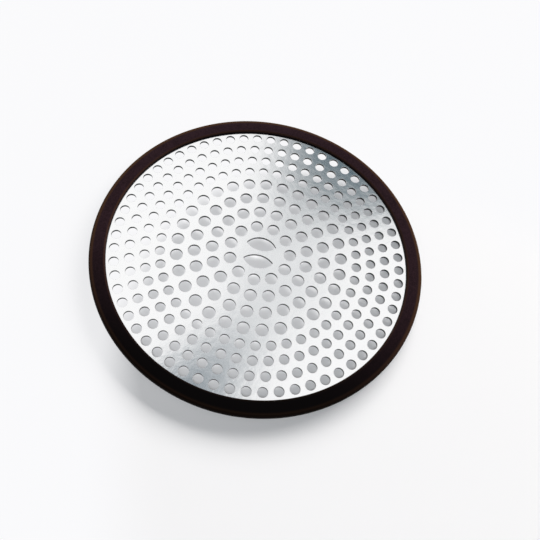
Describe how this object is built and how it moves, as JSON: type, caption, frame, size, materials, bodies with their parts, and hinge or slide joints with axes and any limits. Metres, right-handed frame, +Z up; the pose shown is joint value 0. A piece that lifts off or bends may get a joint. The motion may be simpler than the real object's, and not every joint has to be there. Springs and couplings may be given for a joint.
{
  "type": "bathtub drain strainer",
  "caption": "Flat round drain strainer: a perforated stainless steel disc with concentric hole rings and two lens slots, held in a dark silicone rim.",
  "frame": {"origin": "centre of the rim's flat underside, on the surface that the strainer rests on", "axes": "+Z up, along the disc's axis; +X along the two lens slots; every ring of holes has one hole on the line through -Y"},
  "size_m": [0.115, 0.115, 0.0028],
  "materials": {
    "steel": "fine brushed stainless steel",
    "silicone": "matte moulded silicone"
  },
  "bodies": {
    "root": {"perforated_plate": "steel", "silicone_rim": "silicone"}
  },
  "joints": []
}
